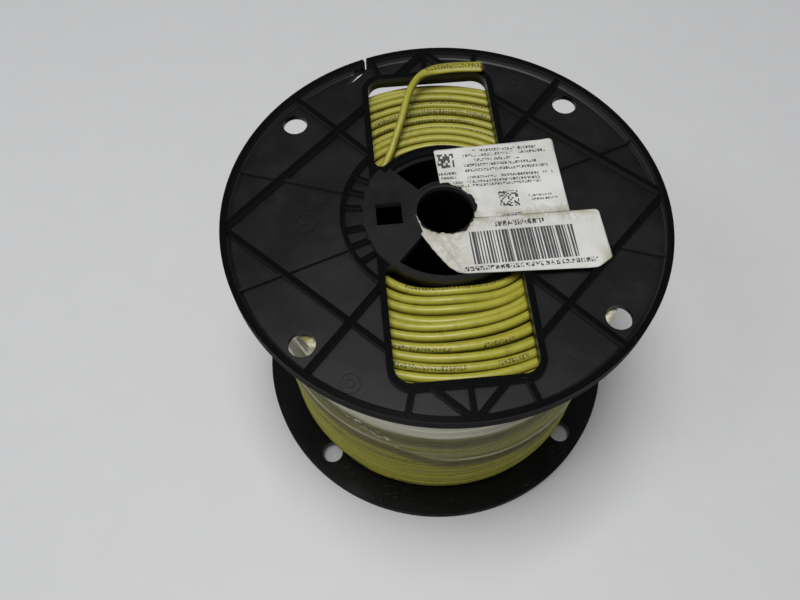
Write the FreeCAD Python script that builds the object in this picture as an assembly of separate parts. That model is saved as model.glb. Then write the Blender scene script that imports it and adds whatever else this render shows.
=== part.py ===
"""A moulded plastic spool of electrician's wire, 165 mm across and 127 mm tall.

Two identical flanges are plugged into a drum tube and an arbor tube. Yellow stranded wire is
wound on the drum, a clear film holds its outer turns, and two paper labels lie on the hub.
Millimetres, +Z up, origin at the centre of the face that the spool stands on.
"""
import FreeCAD
import Part
import math
import os

from FreeCAD import Vector

# Overall size
flange_radius = 82.5
spool_height = 127.0

# Flange moulding: a thin web inside a rim, stiffened on its outer side
rim_height = 5.5
rim_wall = 2.2
web_thickness = 2.1
rib_drop = 0.6
rib_width = 2.0
spoke_angle = 48.5
fine_rib_width = 1.1
fine_rib_height = 1.5
fine_rib_angle = 19.3

# Windows either side of the hub
window_half_width = 24.2
window_rim_margin = 15.2
window_corner = 6.0
window_inner_round = 2.5
window_frame_width = 2.4
brace_drop = 12.9
truss_foot = 12.8
truss_splay_angle = 74.6

# Four tie holes through each flange
tie_hole_radius = 4.75
tie_hole_rim_margin = 9.6
tie_hole_angle = 41.9

# Crack in the upper flange: how far in from the edge, at which angle and how wide
crack_line = (
    (-1.0, 107.1, 2.0),
    (2.1, 107.5, 0.5),
    (3.9, 110.1, 2.2),
    (6.0, 113.4, 1.5),
    (7.3, 116.3, 0.8),
    (7.9, 119.0, 0.0),
)

# Hub: drum tube, arbor tube and the plate with the drive hole
bore_radius = 10.5
arbor_wall = 1.5
boss_wall = 1.1
drum_radius = 30.3
drum_wall = 2.0
hub_plate_thickness = 2.5
hub_ledge = 1.5
socket_clearance = 0.1
socket_wall = 1.8
socket_depth = 8.0
hub_web_width = 1.8
sector_angle = 48.0
drive_hole_width = 9.5
drive_hole_offset = 20.7

# Ladder of small pockets round each end of the hub plate
ladder_depth = 8.5
ladder_wall = 1.6
ladder_rung_width = 1.2
ladder_rung_angles = (7.9, fine_rib_angle, 30.4)

# Wire and winding
wire_diameter = 3.3
seat_gap = 0.3
winding_rim_margin = 12.0
end_gap = 1.2
end_turn_pitch = 4.0
end_turn_count = 8
end_turn_start = 147.0
first_lap_room = 2.0
side_ridge_count = 18
side_ridge_height = 1.3
side_ridge_corners = 24

# Free inner end of the wire: the points of its route from the first turn to the cut end. The
# first point follows from the end turns, and the second lies on the way that they point.
tail_first_run = 5.0
tail_points = (
    (-18.0, 30.3, 121.9),
    (-14.4, 38.8, 125.2),
    (-11.9, 44.4, 127.3),
    (-10.2, 49.6, 128.9),
    (-8.5, 54.7, 129.5),
    (-6.0, 60.3, 129.2),
    (-2.7, 65.2, 128.7),
    (2.5, 68.0, 128.4),
    (9.3, 68.7, 128.4),
    (16.2, 68.5, 128.5),
    (23.0, 67.7, 128.6),
)
strand_radius = 0.235
strand_length = 1.2
strand_pitch = 0.5

# Clear film wrapped round the winding
film_thickness = 0.5
film_lower_edge = 31.0

# Paper labels on the hub: the left, right and upper edge of the one, which starts where the
# other ends, and the left, right, lower and upper edge of the other
paper_thickness = 0.25
spec_label_box = (-1.2, 45.2, 28.4)
barcode_label_box = (-10.4, 56.3, -30.0, -5.2)
barcode_torn_corner = 17.5

# Sizes that follow from those above
web_face = spool_height - rim_height
rib_top = rim_height - rib_drop
rim_inner = flange_radius - rim_wall
window_outer = flange_radius - window_rim_margin
frame_outer = window_outer + window_frame_width
drum_inner = drum_radius - drum_wall
socket_outer = drum_inner - socket_clearance
socket_inner = socket_outer - socket_wall
arbor_outer = bore_radius + arbor_wall
boss_inner = arbor_outer + socket_clearance
boss_outer = boss_inner + boss_wall
ladder_outer = drum_radius + ladder_depth
tie_hole_circle = flange_radius - tie_hole_rim_margin
wire_radius = wire_diameter / 2
winding_radius = flange_radius - winding_rim_margin
end_turn_offset = end_gap + wire_radius
core_top = web_face - end_turn_offset - wire_radius - seat_gap
first_turn_radius = drum_radius + seat_gap + wire_radius
UP = Vector(0, 0, 1)
CENTRE = Vector(0, 0, 0)


def polar(radius, angle, z=0.0):
    a = math.radians(angle)
    return Vector(radius * math.cos(a), radius * math.sin(a), z)


def disc(radius, z0, z1, at=CENTRE):
    return Part.makeCylinder(radius, z1 - z0, at + UP * z0)


def ring(inner, outer, z0, z1):
    return disc(outer, z0, z1).cut(disc(inner, z0, z1))


def prism(edges_or_points, z0, z1):
    """A solid over a closed outline, which is a list of points or of edges at height 0."""
    if isinstance(edges_or_points[0], Vector):
        wire = Part.makePolygon(list(edges_or_points) + [edges_or_points[0]])
    else:
        wire = Part.Wire(edges_or_points)
    face = Part.Face(wire)
    face.translate(UP * z0)
    return face.extrude(UP * (z1 - z0))


def bar(start, end, width, z0, z1):
    """A straight rib of the given width between two points."""
    along = (end - start).normalize()
    side = along.cross(UP) * (width / 2)
    return prism([start - side, end - side, end + side, start + side], z0, z1)


def both_sides(shape, mirror_x=False, mirror_y=False):
    """The shape with its mirror images across X = 0, Y = 0 or both."""
    shapes = [shape]
    if mirror_x:
        shapes += [s.mirror(CENTRE, Vector(1, 0, 0)) for s in shapes]
    if mirror_y:
        shapes += [s.mirror(CENTRE, Vector(0, 1, 0)) for s in shapes]
    return shapes


def fuse_all(shapes):
    return shapes[0].multiFuse(shapes[1:]).removeSplitter()


def rectangle(x0, x1, y0, y1):
    return [Vector(x0, y0, 0), Vector(x1, y0, 0), Vector(x1, y1, 0), Vector(x0, y1, 0)]


def rounded_rectangle(x0, x1, y0, y1, radius):
    """Edges of a rectangle with round corners."""
    k = radius * (1 - math.sqrt(0.5))
    corners = [
        ((x1 - radius, y0), (x1 - k, y0 + k), (x1, y0 + radius)),
        ((x1, y1 - radius), (x1 - k, y1 - k), (x1 - radius, y1)),
        ((x0 + radius, y1), (x0 + k, y1 - k), (x0, y1 - radius)),
        ((x0, y0 + radius), (x0 + k, y0 + k), (x0 + radius, y0)),
    ]
    edges = []
    for i, (first, middle, last) in enumerate(corners):
        before = corners[i - 1][2]
        edges.append(Part.LineSegment(Vector(*before, 0), Vector(*first, 0)).toShape())
        edges.append(Part.Arc(Vector(*first, 0), Vector(*middle, 0), Vector(*last, 0)).toShape())
    return edges


def window_prism(grow, z0, z1):
    """The window towards +Y, or with grow its frame's outer outline: straight sides, round outer
    corners and an inner edge that follows the drum."""
    half = window_half_width + grow
    outer = window_outer + grow
    block = prism(rounded_rectangle(-half, half, -outer, outer, window_corner + grow), z0, z1)
    block = block.common(Part.makeBox(2 * half, outer, z1 - z0, Vector(-half, 0, z0)))
    return block.cut(disc(drum_radius, z0, z1))


def window_opening(z0, z1):
    """The window with its two inner corners rounded where its sides meet the drum."""
    block = window_prism(0, z0, z1)
    inner = [e for e in block.Edges
             if abs(abs(e.CenterOfMass.x) - window_half_width) < 0.01
             and e.Length < (z1 - z0) * 1.01 and e.CenterOfMass.y < drum_radius]
    return block.makeFillet(window_inner_round, inner)


def sector(z0, z1, inner, outer):
    """The open sector of the hub towards +Y."""
    reach = 2 * outer
    wedge = prism([CENTRE, polar(reach, sector_angle), Vector(0, reach, 0),
                   polar(reach, 180 - sector_angle)], z0, z1)
    return wedge.common(ring(inner, outer, z0, z1))


def hub_parts():
    """The flange's middle: hub ring, plate, the boss round the arbor tube and the drum's spigot."""
    plate_under = rib_top - hub_plate_thickness
    plate = ring(boss_inner, drum_radius, plate_under, rib_top)
    for opening in both_sides(sector(plate_under, rib_top, boss_outer, drum_inner), mirror_y=True):
        plate = plate.cut(opening)
    parts = [
        plate,
        ring(drum_inner, drum_radius, 0, rib_top),
        ring(socket_inner, drum_radius, 0, hub_ledge),
        ring(socket_inner, socket_outer, -socket_depth, hub_ledge),
        ring(boss_inner, boss_outer, -socket_depth, rib_top),
    ]
    edge = polar(1, sector_angle)
    inward = Vector(edge.y, -edge.x, 0) * (hub_web_width / 2)
    web = bar(edge * (boss_outer - boss_wall / 2) + inward,
              edge * (socket_inner + socket_wall / 2) + inward,
              hub_web_width, -socket_depth, rib_top)
    return parts + both_sides(web, mirror_x=True, mirror_y=True)


def ladder_parts():
    """The arc of small pockets at both ends of the hub plate."""
    reach = 2 * ladder_outer
    wedge = prism([CENTRE, polar(reach, -sector_angle), Vector(reach, 0, 0),
                   polar(reach, sector_angle)], 0, rib_top)
    arc = ring(ladder_outer - ladder_wall, ladder_outer, 0, rib_top).common(wedge)
    rungs = []
    for angle in ladder_rung_angles:
        for side in (angle, -angle):
            rungs.append(bar(polar(drum_radius - drum_wall / 2, side),
                             polar(ladder_outer - ladder_wall / 2, side), ladder_rung_width, 0, rib_top))
    found = []
    for piece in [arc] + rungs:
        found += both_sides(piece, mirror_x=True)
    return found


def rib_parts():
    """Spokes, braces, trusses and fine ribs between the hub, the window frames and the rim."""
    reach = flange_radius - rim_wall / 2
    spoke = bar(polar(ladder_outer - ladder_wall / 2, spoke_angle), polar(reach, spoke_angle),
                rib_width, 0, rib_top)
    brace_end = Vector(window_half_width + window_frame_width / 2, window_outer - brace_drop, 0)
    brace = bar(Vector(reach, 0, 0), brace_end, rib_width, 0, rib_top)
    foot = Vector(truss_foot, window_outer + window_frame_width / 2, 0)
    truss = bar(foot, Vector(0, reach, 0), rib_width, 0, rib_top)
    splayed = bar(polar(frame_outer, truss_splay_angle),
                  polar(reach, truss_splay_angle), rib_width, 0, rib_top)
    fine = bar(polar(ladder_outer - ladder_wall / 2, fine_rib_angle), polar(reach, fine_rib_angle),
               fine_rib_width, 0, web_thickness + fine_rib_height)
    found = []
    for rib in (spoke, brace, truss, splayed, fine):
        found += both_sides(rib, mirror_x=True, mirror_y=True)
    middle = bar(Vector(0, foot.y, 0), Vector(0, reach, 0), rib_width, 0, rib_top)
    return found + both_sides(middle, mirror_y=True)


def flange():
    """One flange with its inner face at height 0 and its ribbed side up."""
    rim = ring(rim_inner, flange_radius, 0, rim_height)
    web = ring(drum_inner, flange_radius - rim_wall / 2, 0, web_thickness)
    frames = both_sides(window_prism(window_frame_width, 0, rib_top), mirror_y=True)
    body = fuse_all([rim, web] + hub_parts() + ladder_parts() + rib_parts() + frames)
    for opening in both_sides(window_opening(-1, rim_height + 1), mirror_y=True):
        body = body.cut(opening)
    hole = disc(tie_hole_radius, -1, rim_height + 1, polar(tie_hole_circle, tie_hole_angle))
    for one in both_sides(hole, mirror_x=True, mirror_y=True):
        body = body.cut(one)
    half = drive_hole_width / 2
    drive_hole = prism(rectangle(-drive_hole_offset - half, -drive_hole_offset + half, -half, half),
                       0, rim_height)
    return body.cut(drive_hole).removeSplitter()


def crack():
    """The split through the rim, which runs on in the web as a curved sliver."""
    centres = [polar(flange_radius - inset, angle) for inset, angle, width in crack_line]
    outline = [centres[-1]]
    for i in reversed(range(len(centres) - 1)):
        along = (centres[i + 1] - centres[max(i - 1, 0)]).normalize()
        side = along.cross(UP) * (crack_line[i][2] / 2)
        outline.insert(0, centres[i] + side)
        outline.append(centres[i] - side)
    return prism(outline, -1, rim_height + 1)


def one_solid(shape):
    return shape.Solids[0] if len(shape.Solids) == 1 else shape


def upper_flange(moulding):
    body = moulding.cut(crack())
    body.translate(UP * web_face)
    return one_solid(body)


def lower_flange(moulding):
    body = moulding.copy()
    body.rotate(CENTRE, Vector(1, 0, 0), 180)
    body.translate(UP * rim_height)
    return one_solid(body)


def arc_from(start, corner, end):
    """The arc that leaves start towards corner and arrives at end from corner."""
    chord = (start + end) * 0.5
    half = (end - start).Length / 2
    reach = (corner - chord).Length
    if reach < 1e-7:
        return Part.LineSegment(start, end).toShape()
    half_angle = math.atan2(reach, half)
    sagitta = half * math.tan(half_angle / 2)
    middle = chord + (corner - chord) * (sagitta / reach)
    return Part.Arc(start, middle, end).toShape()


def biarc(p0, t0, p1, t1):
    """Two arcs that join p0 and p1 and keep the directions t0 and t1 at them."""
    v = p1 - p0
    t = t0 + t1
    slope = v.dot(t)
    turn = 2 * (1 - t0.dot(t1))
    d = (math.sqrt(slope * slope + turn * v.dot(v)) - slope) / turn
    q0 = p0 + t0 * d
    q1 = p1 - t1 * d
    joint = (q0 + q1) * 0.5
    return [arc_from(p0, q0, joint), arc_from(joint, q1, p1)]


def hexagon(at, along, radius):
    """A six-sided outline across the direction along, as wide as a wire of that radius."""
    across = along.cross(UP).normalize()
    rise = across.cross(along).normalize()
    corners = []
    for i in range(6):
        a = math.pi * i / 3
        corners.append(at + across * (radius * math.cos(a)) + rise * (radius * math.sin(a)))
    return Part.makePolygon(corners + [corners[0]])


def turn_section(at, along):
    """A wound turn's outline, as wide and as high as the wire and flat on the layer under it."""
    across = along.cross(UP).normalize() * wire_radius
    rise = UP * wire_radius
    corners = [at - across - rise, at + across - rise, at + rise]
    return Part.makePolygon(corners + [corners[0]])


def wound_tube(points, tangents):
    """One unbroken tube through the points, with a straight run of one diameter at each end."""
    lead_in = points[0] - tangents[0] * wire_diameter
    lead_out = points[-1] + tangents[-1] * wire_diameter
    edges = [Part.LineSegment(lead_in, points[0]).toShape()]
    for i in range(len(points) - 1):
        edges += biarc(points[i], tangents[i], points[i + 1], tangents[i + 1])
    edges.append(Part.LineSegment(points[-1], lead_out).toShape())
    path = Part.Wire(edges)
    tube = path.makePipeShell([turn_section(lead_in, tangents[0])], True, False)
    return one_solid(tube), path


def turn_points(count, radius_at, height_at, start_angle, sense):
    """Quarter-turn points and directions of a coil whose radius and height are formulas of the
    turn number."""
    step = 0.001
    points = []
    tangents = []
    for i in range(4 * count + 1):
        turn = i / 4

        def place(n):
            return polar(radius_at(n), start_angle + sense * 360 * n, height_at(n))

        points.append(place(turn))
        tangents.append((place(turn + step) - place(turn - step)).normalize())
    return points, tangents


def least_gap(path):
    """The least gap between neighbouring turns of the tube, measured on points of its path."""
    samples = path.discretize(Distance=2.0)
    closest = 1e9
    for i, p in enumerate(samples):
        run = 0.0
        previous = p
        for q in samples[i + 1:]:
            run += (q - previous).Length
            previous = q
            if run > 6 * wire_diameter:
                closest = min(closest, (q - p).Length)
            if run > 3 * math.pi * winding_radius:
                break
    return closest - wire_diameter


def end_turn_points():
    """The flat spiral against the upper flange. It leaves the drum, and its first lap is wider
    because the wire's free end comes up between the first turn and the second."""
    def radius_at(turn):
        return first_turn_radius + end_turn_pitch * turn + first_lap_room * min(turn, 1)

    return turn_points(end_turn_count, radius_at, lambda turn: web_face - end_turn_offset,
                       end_turn_start, 1)


def end_turns():
    tube, path = wound_tube(*end_turn_points())
    print("end_turns least gap", round(least_gap(path), 2))
    return tube


def winding_core():
    """The layers of wire under the turns that show, seated on the drum. Its outside is ridged as
    the outer layer is, with one flat-sided ridge for every second turn."""
    low = rim_height + end_gap
    step = (core_top - low) / (2 * side_ridge_count)
    outlines = []
    for i in range(2 * side_ridge_count + 1):
        radius = winding_radius if i % 2 else winding_radius - side_ridge_height
        corners = [polar(radius, 360 * k / side_ridge_corners, low + step * i)
                   for k in range(side_ridge_corners)]
        outlines.append(Part.makePolygon(corners + [corners[0]]))
    layers = Part.makeLoft(outlines, True, True)
    return one_solid(layers.cut(disc(drum_radius + seat_gap, low, core_top)))


def drum_tube():
    return ring(drum_inner, drum_radius, rim_height, web_face)


def arbor_tube():
    """The tube round the bore, which runs through both bosses and ends level with the plates."""
    return ring(bore_radius, arbor_outer, rib_drop, spool_height - rib_drop)


def route(points):
    """Straight runs joined by tangent arcs, each as large as its two runs allow."""
    edges = []
    radii = []
    last = points[0]
    for i in range(1, len(points) - 1):
        into = points[i] - points[i - 1]
        out = points[i + 1] - points[i]
        half_turn = into.getAngle(out) / 2
        cut = 0.45 * min(into.Length, out.Length)
        radii.append(cut / math.tan(half_turn))
        start = points[i] - into.normalize() * cut
        end = points[i] + out.normalize() * cut
        edges.append(Part.LineSegment(last, start).toShape())
        edges.append(arc_from(start, points[i], end))
        last = end
    edges.append(Part.LineSegment(last, points[-1]).toShape())
    return Part.Wire(edges), radii


def wire_tail():
    """The wire's free inner end, which comes up through a window and lies over its frame."""
    points, tangents = end_turn_points()
    start = points[0] - tangents[0] * wire_diameter
    second = start - tangents[0] * tail_first_run
    path, radii = route([start, second] + [Vector(*p) for p in tail_points])
    section = hexagon(start, tangents[0] * -1, wire_radius)
    tube = one_solid(path.makePipeShell([section], True, False))
    print("wire_tail length", round(path.Length, 1), "volume", round(tube.Volume, 1),
          "section by length", round(Part.Face(section).Area * path.Length, 1))
    print("wire_tail radii", [round(r, 1) for r in radii])
    return tube


def copper_strands():
    """The nineteen strands that show at the cut end, one in the middle and two rings round it."""
    end = Vector(*tail_points[-1])
    along = (end - Vector(*tail_points[-2])).normalize()
    across = along.cross(UP).normalize()
    rise = across.cross(along).normalize()
    places = [end]
    for count, radius in ((6, strand_pitch), (12, 2 * strand_pitch)):
        for i in range(count):
            a = 2 * math.pi * i / count
            places.append(end + across * (radius * math.cos(a)) + rise * (radius * math.sin(a)))
    strands = []
    for place in places:
        outline = Part.Face(hexagon(place, along, strand_radius))
        strands.append(outline.extrude(along * strand_length))
    return Part.makeCompound(strands)


def stretch_film():
    """The clear wrap: a thin sleeve round the winding."""
    inner = winding_radius + seat_gap
    return ring(inner, inner + film_thickness, film_lower_edge, web_face - end_gap)


def paper(outline, cutters):
    """A label lying on the hub plate and the ribs."""
    low = web_face + rib_top
    sheet = prism(outline, low, low + paper_thickness)
    for cutter in cutters:
        sheet = sheet.cut(cutter)
    return one_solid(sheet)


def specification_label():
    x0, x1, y1 = spec_label_box
    sheet = rectangle(x0, x1, barcode_label_box[3], y1)
    return paper(sheet, [disc(bore_radius, 0, 2 * spool_height)])


def barcode_label():
    x0, x1, y0, y1 = barcode_label_box
    torn = prism([Vector(x0 - 1, y0 - 1, 0), Vector(x0 + barcode_torn_corner * 0.6, y0 - 1, 0),
                  Vector(x0 - 1, y0 + barcode_torn_corner, 0)], 0, 2 * spool_height)
    return paper(rectangle(x0, x1, y0, y1), [disc(bore_radius, 0, 2 * spool_height), torn])


def build():
    moulding = flange()
    return {
        "upper_flange": upper_flange(moulding),
        "lower_flange": lower_flange(moulding),
        "drum_tube": drum_tube(),
        "arbor_tube": arbor_tube(),
        "winding_core": winding_core(),
        "end_turns": end_turns(),
        "wire_tail": wire_tail(),
        "copper_strands": copper_strands(),
        "stretch_film": stretch_film(),
        "specification_label": specification_label(),
        "barcode_label": barcode_label(),
    }


def main():
    os.makedirs("parts", exist_ok=True)
    for name, shape in build().items():
        if not shape.isValid():
            print("not valid:", name)
        shape.exportStep(os.path.join("parts", name + ".step"))
        print(name, "solids", len(shape.Solids), "volume", round(shape.Volume, 1))


main()
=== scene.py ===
# %% [markdown]
# # A spool of yellow building wire
# A moulded black spool carries a long length of yellow stranded wire. Clear film holds the outer
# turns, and two paper labels lie on the hub. The measured model gives the frame: every piece below
# takes its place from that model's boxes, in metres, so nothing is fitted by eye.

import bmesh
import bpy
import math

import numpy as np
from mathutils import Matrix, Vector
from mathutils.geometry import delaunay_2d_cdt


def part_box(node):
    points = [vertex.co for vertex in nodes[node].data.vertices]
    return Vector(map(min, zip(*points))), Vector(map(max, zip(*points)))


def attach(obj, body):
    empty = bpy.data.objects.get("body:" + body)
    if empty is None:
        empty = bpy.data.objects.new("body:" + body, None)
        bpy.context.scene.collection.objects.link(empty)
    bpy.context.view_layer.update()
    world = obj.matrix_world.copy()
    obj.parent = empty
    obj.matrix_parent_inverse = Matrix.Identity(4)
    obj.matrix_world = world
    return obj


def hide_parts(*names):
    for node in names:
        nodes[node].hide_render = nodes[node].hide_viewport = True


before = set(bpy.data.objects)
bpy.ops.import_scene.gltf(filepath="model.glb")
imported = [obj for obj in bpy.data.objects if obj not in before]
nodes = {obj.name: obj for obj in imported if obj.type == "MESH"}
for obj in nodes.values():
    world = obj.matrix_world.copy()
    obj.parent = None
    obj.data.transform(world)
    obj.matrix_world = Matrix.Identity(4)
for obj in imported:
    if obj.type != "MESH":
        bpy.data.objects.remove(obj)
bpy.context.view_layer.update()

MM = 0.001
BODY = "root"
upper_low, upper_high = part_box("upper_flange")
lower_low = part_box("lower_flange")[0]
label_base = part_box("specification_label")[0].z
print("spool", [round(v * 1000, 1) for v in (upper_high - lower_low)], "mm")

# %% [markdown]
# ## Camera
# The photograph looks down on the spool from the front. The camera's place and turn were solved from
# the outlines of both flanges. The place is given in flange radii, and the turn in radians: first
# about the upright, then the tilt, then the roll. The lens is given in pixels of an 800 pixel frame.

# %% Camera
flange_radius = (upper_high.x - upper_low.x) / 2
camera_place = Vector((-0.351, -1.952, 4.273)) * flange_radius
camera_heading = -0.0721
camera_tilt = 0.505
camera_roll = -0.0204
lens_pixels = 753.6
photo_width = 800

camera = bpy.data.objects.new("camera", bpy.data.cameras.new("camera"))
bpy.context.scene.collection.objects.link(camera)
camera.data.sensor_width = 36
camera.data.lens = lens_pixels / photo_width * camera.data.sensor_width
camera.data.clip_start = 0.01
camera.matrix_world = (Matrix.Translation(camera_place)
                       @ Matrix.Rotation(camera_heading, 4, "Z")
                       @ Matrix.Rotation(camera_tilt, 4, "X")
                       @ Matrix.Rotation(camera_roll, 4, "Z"))
bpy.context.scene.camera = camera
bpy.context.scene.view_settings.view_transform = "Standard"
print("lens", round(camera.data.lens, 2), "mm")

# %% [markdown]
# ## Shader maths as plain expressions
# A material is a net of nodes, and wiring each one by hand hides what it does. `Signal` wraps one
# output socket, so that `1 - mask` or `height * 0.3 + grain` adds the Math nodes itself. Every other
# node comes from `Finish.node`, which takes the node's type, its settings, and its sockets.

# %% Shader helpers
class Signal:
    """One output socket of a material, used like a number."""

    def __init__(self, finish, socket):
        self.finish = finish
        self.socket = socket

    def maths(self, operation, *values):
        return self.finish.node("ShaderNodeMath", {"operation": operation}, dict(enumerate(values)))

    def __add__(self, other):
        return self.maths("ADD", self, other)

    def __radd__(self, other):
        return self.maths("ADD", other, self)

    def __sub__(self, other):
        return self.maths("SUBTRACT", self, other)

    def __rsub__(self, other):
        return self.maths("SUBTRACT", other, self)

    def __mul__(self, other):
        return self.maths("MULTIPLY", self, other)

    def __rmul__(self, other):
        return self.maths("MULTIPLY", other, self)

    def __gt__(self, other):
        return self.maths("GREATER_THAN", self, other)

    def __lt__(self, other):
        return self.maths("LESS_THAN", self, other)

    def __abs__(self):
        return self.maths("ABSOLUTE", self)

    def floor(self):
        return self.maths("FLOOR", self)

    def fraction(self):
        return self.maths("FRACT", self)

    def root(self):
        return self.maths("SQRT", self)

    def most(self, other):
        return self.maths("MAXIMUM", self, other)

    def least(self, other):
        return self.maths("MINIMUM", self, other)

    def ramp(self, low, high):
        """Goes smoothly from 0 at low to 1 at high, and low may be the larger of the two."""
        rising = high > low
        ends = {1: min(low, high), 2: max(low, high), 3: float(not rising), 4: float(rising)}
        return self.finish.node("ShaderNodeMapRange", {"interpolation_type": "SMOOTHSTEP"},
                                {0: self, **ends})


class Finish:
    """A material under construction."""

    def __init__(self, name):
        self.material = bpy.data.materials.new(name)
        self.material.use_nodes = True
        self.tree = self.material.node_tree
        self.tree.nodes.clear()
        self.place = self.node("ShaderNodeTexCoord", output="Object")

    def node(self, kind, settings=None, inputs=None, output=0):
        made = self.tree.nodes.new(kind)
        for name, value in (settings or {}).items():
            setattr(made, name, value)
        for name, value in (inputs or {}).items():
            if isinstance(value, Signal):
                self.tree.links.new(value.socket, made.inputs[name])
            else:
                made.inputs[name].default_value = value
        return Signal(self, made.outputs[output]) if made.outputs else None

    def axes(self, vector=None):
        source = vector or self.place
        return [self.node("ShaderNodeSeparateXYZ", None, {0: source}, axis) for axis in range(3)]

    def vector(self, x, y, z):
        return self.node("ShaderNodeCombineXYZ", None, {0: x, 1: y, 2: z})

    def upright(self):
        """How far the surface faces up: 1 on top, 0 on a wall and -1 below."""
        return self.axes(self.node("ShaderNodeNewGeometry", output="Normal"))[2]

    def noise(self, scale, detail, stretch=(1, 1, 1)):
        """Soft noise from 0 to 1. The scale is in cells to the metre, and stretch changes it by axis."""
        placed = self.node("ShaderNodeMapping", None, {"Vector": self.place, "Scale": stretch})
        return self.node("ShaderNodeTexNoise", None,
                         {"Vector": placed, "Scale": scale, "Detail": detail, "Roughness": 0.55})

    def speckle(self, x, y, seed=0.0):
        """A different random number for each whole x and y."""
        cell = self.vector(x.floor(), y.floor(), seed)
        return self.node("ShaderNodeTexWhiteNoise", {"noise_dimensions": "3D"}, {"Vector": cell})

    def tint(self, factor, first, second):
        """The second colour over the first, by a factor. A Mix node's colours are its sockets 6 and 7."""
        sides = {"Factor": factor}
        for index, colour in ((6, first), (7, second)):
            sides[index] = colour if isinstance(colour, Signal) else (*colour, 1)
        return self.node("ShaderNodeMix", {"data_type": "RGBA"}, sides, 2)

    def bump(self, height, strength, depth):
        return self.node("ShaderNodeBump", None,
                         {"Height": height, "Strength": strength, "Distance": depth})

    def surface(self, dull=None, **sockets):
        """Closes the material: each keyword is a socket's name, with _ for a blank. Dull is a share
        from 0 to 1 of plain matt surface."""
        inputs = {name.replace("_", " "): value for name, value in sockets.items()}
        shader = self.node("ShaderNodeBsdfPrincipled", None, inputs)
        if dull is not None:
            plain = {"Base Color": inputs["Base Color"], "Roughness": 1.0, "Specular IOR Level": 0.0}
            matt = self.node("ShaderNodeBsdfPrincipled", None, plain)
            shader = self.node("ShaderNodeMixShader", None, {0: dull, 1: shader, 2: matt})
        self.node("ShaderNodeOutputMaterial", None, {"Surface": shader})
        return self.material


# %% [markdown]
# ## Floor, room and lamps
# The spool stands on a plain pale table in soft light. A large plane with a faint grain is enough for
# the table. A wide lamp above and a smaller one on the left give the soft shadows and the sheen
# on the web, and a faint grey room fills the rest.

# %% Floor
def add_object(name, mesh):
    made = bpy.data.objects.new(name, mesh)
    bpy.context.scene.collection.objects.link(made)
    return made


def mesh_of(name, points, faces, smooth=True):
    mesh = bpy.data.meshes.new(name)
    mesh.from_pydata([tuple(p) for p in points], [], [tuple(f) for f in faces])
    mesh.polygons.foreach_set("use_smooth", [smooth] * len(mesh.polygons))
    mesh.update()
    return mesh


table = Finish("pale table")
table_grain = table.noise(60, 4)
table_shade = table.noise(3, 2)
table_colour = table.tint(table_grain * 0.35 + table_shade * 0.5,
                          (0.56, 0.56, 0.565), (0.64, 0.64, 0.64))
table_top = table.surface(Base_Color=table_colour, Roughness=0.6,
                          Normal=table.bump(table_grain, 0.15, 0.0004))
half_table = 1.6
table_corners = [(x * half_table, y * half_table, 0) for x, y in ((-1, -1), (1, -1), (1, 1), (-1, 1))]
floor = add_object("floor", mesh_of("floor", table_corners, [(0, 1, 2, 3)], False))
floor.data.materials.append(table_top)
print("floor", 2 * half_table, "m wide")

# %% Room and lamps
room = bpy.data.worlds.new("room")
bpy.context.scene.world = room
room.use_nodes = True
room_light = room.node_tree.nodes["Background"]
room_light.inputs["Color"].default_value = (0.93, 0.96, 1.0, 1)
room_light.inputs["Strength"].default_value = 0.18
spool_middle = Vector((0, 0, 0.08))


def lamp(name, place, size, watts, colour=(1, 1, 1)):
    """A square lamp that looks at the middle of the spool."""
    made = bpy.data.lights.new(name, "AREA")
    made.size = size
    made.energy = watts
    made.color = colour
    holder = bpy.data.objects.new(name, made)
    bpy.context.scene.collection.objects.link(holder)
    holder.location = place
    aim = spool_middle - holder.location
    holder.rotation_euler = aim.to_track_quat("-Z", "Y").to_euler()
    print("lit", name)


lamp("ceiling lamp", (-0.12, -0.06, 1.50), 0.60, 17.0)
lamp("left lamp", (-0.75, -0.2, 1.1), 0.30, 1.6, (0.96, 0.98, 1.0))

# %% [markdown]
# ## Black plastic
# The spool is moulded in cheap black styrene. The flat web is satin, with flow marks, fine scratches
# and a little dust. The tops of the rims and ribs are worn smooth. Away from the hub those tops, and
# also the flanges' inner faces, are painted near black as painted shade. Their edges get pale lines,
# partly wear and partly a painted highlight. Real ribs have sloping sides that catch as much light as
# the web. These are straight, so their sides are painted lighter, a painted light. One colour for all
# would hide the ribs, so each look has a mask, made from the height, the distance from the axis and
# the way that the surface faces.

# %% Spool plastic
rim_height = 5.5 * MM
rib_drop = 0.6 * MM
web_depth = 3.4 * MM
hub_radius = 31.5 * MM
hub_ring_radius = 27.8 * MM
deep_black = (0.0028, 0.0030, 0.0033)


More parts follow.
